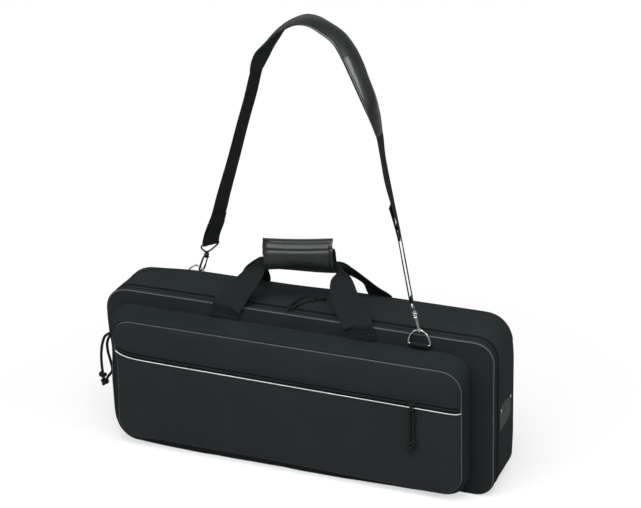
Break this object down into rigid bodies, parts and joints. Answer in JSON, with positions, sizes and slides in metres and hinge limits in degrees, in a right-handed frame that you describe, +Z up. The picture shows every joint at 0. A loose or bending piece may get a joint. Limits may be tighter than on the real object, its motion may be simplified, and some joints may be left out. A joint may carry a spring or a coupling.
{
  "type": "keyboard gig bag",
  "caption": "Padded zipped box bag for a musical keyboard, with a boxed front pocket, web handles in a wrapped grip and a padded shoulder strap on snap hooks.",
  "frame": {"origin": "on the base, at the middle of the length and of the depth of the main box", "axes": "+X along the bag to the end with the label window, +Y from the front pocket to the back panel, +Z up"},
  "size_m": [0.8548, 0.2086, 0.9464],
  "materials": {
    "fabric": "black woven nylon, matt",
    "pocket_fabric": "black woven nylon, matt",
    "foam": "black closed foam padding",
    "lining": "black smooth lining cloth",
    "piping": "dark grey vinyl piping, satin",
    "reflective": "pale grey reflective piping",
    "zip": "black zip tape and coil",
    "webbing": "black woven webbing",
    "leather": "black imitation leather, semi-gloss",
    "chrome": "bright plated",
    "black_metal": "dark nickel, satin",
    "cord": "black braided cord",
    "clear": "smoky clear vinyl"
  },
  "bodies": {
    "tray": {"back_panel": "fabric", "foam_back": "foam", "foam_ring": "foam", "gusset_base": "fabric", "gusset_top": "fabric", "id_backing": "fabric", "id_rivet_front": "chrome", "id_rivet_rear": "chrome", "id_window": "clear", "inner_strap_left": "webbing", "inner_strap_right": "webbing", "lining_back": "lining", "lining_ring": "lining", "rear_foot_left": "webbing", "rear_foot_right": "webbing", "rear_ring_tab": "webbing", "tray_zip_coil": "zip", "tray_zip_tape": "zip"},
    "lid": {"front_panel": "fabric", "front_piping": "piping", "front_gusset": "fabric", "foam_front": "foam", "lining_front": "lining", "lid_zip_tape": "zip", "lid_zip_coil": "zip", "pocket_gusset": "pocket_fabric", "pocket_piping": "piping", "pocket_upper_panel": "pocket_fabric", "pocket_lower_panel": "pocket_fabric", "reflective_piping": "reflective", "pocket_tape_upper": "zip", "pocket_tape_lower": "zip", "pocket_zip_coil": "zip", "front_ring_tab": "webbing", "front_foot_left": "webbing", "front_foot_right": "webbing"},
    "front_handle": {"front_handle_web": "webbing", "front_grip": "leather"},
    "rear_handle": {"rear_handle_web": "webbing", "rear_grip": "leather"},
    "top_slider": {"top_slider": "black_metal"},
    "top_pull": {"top_pull": "cord"},
    "end_slider": {"end_slider": "black_metal"},
    "end_pull": {"end_pull": "cord"},
    "pocket_slider": {"pocket_slider": "black_metal"},
    "pocket_pull": {"pocket_pull": "cord"},
    "front_ring": {"front_ring": "chrome"},
    "front_hook": {"front_hook": "chrome"},
    "front_gate": {"front_gate": "chrome"},
    "front_eye": {"front_eye": "chrome"},
    "rear_ring": {"rear_ring": "chrome"},
    "rear_hook": {"rear_hook": "chrome"},
    "rear_gate": {"rear_gate": "chrome"},
    "rear_eye": {"rear_eye": "chrome"},
    "strap": {"strap_rear_web": "webbing", "shoulder_pad": "leather", "strap_front_web": "webbing", "strap_front_tail": "webbing"},
    "front_adjuster": {"front_adjuster": "black_metal"},
    "rear_adjuster": {"rear_adjuster": "black_metal"}
  },
  "joints": [
    {"name": "lid_hinge", "type": "hinge", "parent": "tray", "child": "lid", "pos_m": [0, -0.0598, 0.0022], "axis": [1, 0, 0], "range_deg": [0, 85]},
    {"name": "front_handle_swing", "type": "hinge", "parent": "lid", "child": "front_handle", "pos_m": [-0.0055, -0.0633, 0.3408], "axis": [1, 0, 0], "range_deg": [0, 120]},
    {"name": "rear_handle_swing", "type": "hinge", "parent": "tray", "child": "rear_handle", "pos_m": [-0.00205, 0.0633, 0.3408], "axis": [-1, 0, 0], "range_deg": [0, 120]},
    {"name": "top_zip", "type": "slide", "parent": "tray", "child": "top_slider", "axis": [1, 0, 0], "range_m": [-0.335, 0.365]},
    {"name": "top_pull_swing", "type": "hinge", "parent": "top_slider", "child": "top_pull", "pos_m": [-0.015, -0.043, 0.347], "axis": [1, 0, 0], "range_deg": [0, 150]},
    {"name": "end_zip", "type": "slide", "parent": "tray", "child": "end_slider", "axis": [0, 0, 1], "range_m": [-0.152, 0.063]},
    {"name": "end_pull_swing", "type": "hinge", "parent": "end_slider", "child": "end_pull", "pos_m": [-0.417, -0.043, 0.219], "axis": [0, 0, 1], "range_deg": [-60, 60]},
    {"name": "pocket_zip", "type": "slide", "parent": "lid", "child": "pocket_slider", "axis": [1, 0, 0], "range_m": [-0.62, 0.085]},
    {"name": "pocket_pull_swing", "type": "hinge", "parent": "pocket_slider", "child": "pocket_pull", "pos_m": [0.257, -0.109, 0.209], "axis": [-1, 0, 0], "range_deg": [0, 100]},
    {"name": "front_ring_swing", "type": "hinge", "parent": "lid", "child": "front_ring", "pos_m": [0.2605, -0.06645, 0.321], "axis": [1, 0, 0], "range_deg": [0, 90]},
    {"name": "front_hook_swing", "type": "hinge", "parent": "front_ring", "child": "front_hook", "pos_m": [0.2605, -0.06645, 0.352], "axis": [1, 0, 0], "range_deg": [-60, 50]},
    {"name": "front_gate_swing", "type": "hinge", "parent": "front_hook", "child": "front_gate", "pos_m": [0.25514, -0.07178, 0.38065], "axis": [0.9228, 0.309, 0.2301], "range_deg": [0, 20], "stiffness_Nm_per_rad": 0.05, "springref_deg": -20.05},
    {"name": "front_eye_swivel", "type": "hinge", "parent": "front_hook", "child": "front_eye", "pos_m": [0.25034, -0.06645, 0.39275], "axis": [-0.2419, 0, 0.9703], "continuous": true},
    {"name": "rear_ring_swing", "type": "hinge", "parent": "tray", "child": "rear_ring", "pos_m": [-0.269, 0.06645, 0.315], "axis": [-1, 0, 0], "range_deg": [0, 75]},
    {"name": "rear_hook_swing", "type": "hinge", "parent": "rear_ring", "child": "rear_hook", "pos_m": [-0.25788, 0.07249, 0.34116], "axis": [-1, 0, 0], "range_deg": [0, 36]},
    {"name": "rear_gate_swing", "type": "hinge", "parent": "rear_hook", "child": "rear_gate", "pos_m": [-0.24572, 0.07768, 0.36768], "axis": [-0.8685, 0.3746, 0.3247], "range_deg": [0, 20], "stiffness_Nm_per_rad": 0.05, "springref_deg": -20.05},
    {"name": "rear_eye_swivel", "type": "hinge", "parent": "rear_hook", "child": "rear_eye", "pos_m": [-0.24317, 0.07249, 0.3805], "axis": [0.3502, 0, 0.9367], "range_deg": [-90, 0]},
    {"name": "strap_swing", "type": "hinge", "parent": "rear_eye", "child": "strap", "pos_m": [-0.23546, 0.07249, 0.40111], "axis": [0.4106, 0.8988, -0.1535], "range_deg": [-110, 0]},
    {"name": "front_adjuster_slide", "type": "slide", "parent": "strap", "child": "front_adjuster", "axis": [0.1814, -0.0524, -0.982], "range_m": [0, 0.1]},
    {"name": "rear_adjuster_slide", "type": "slide", "parent": "strap", "child": "rear_adjuster", "axis": [-0.3703, 0.1071, -0.9227], "range_m": [0, 0.02]}
  ]
}
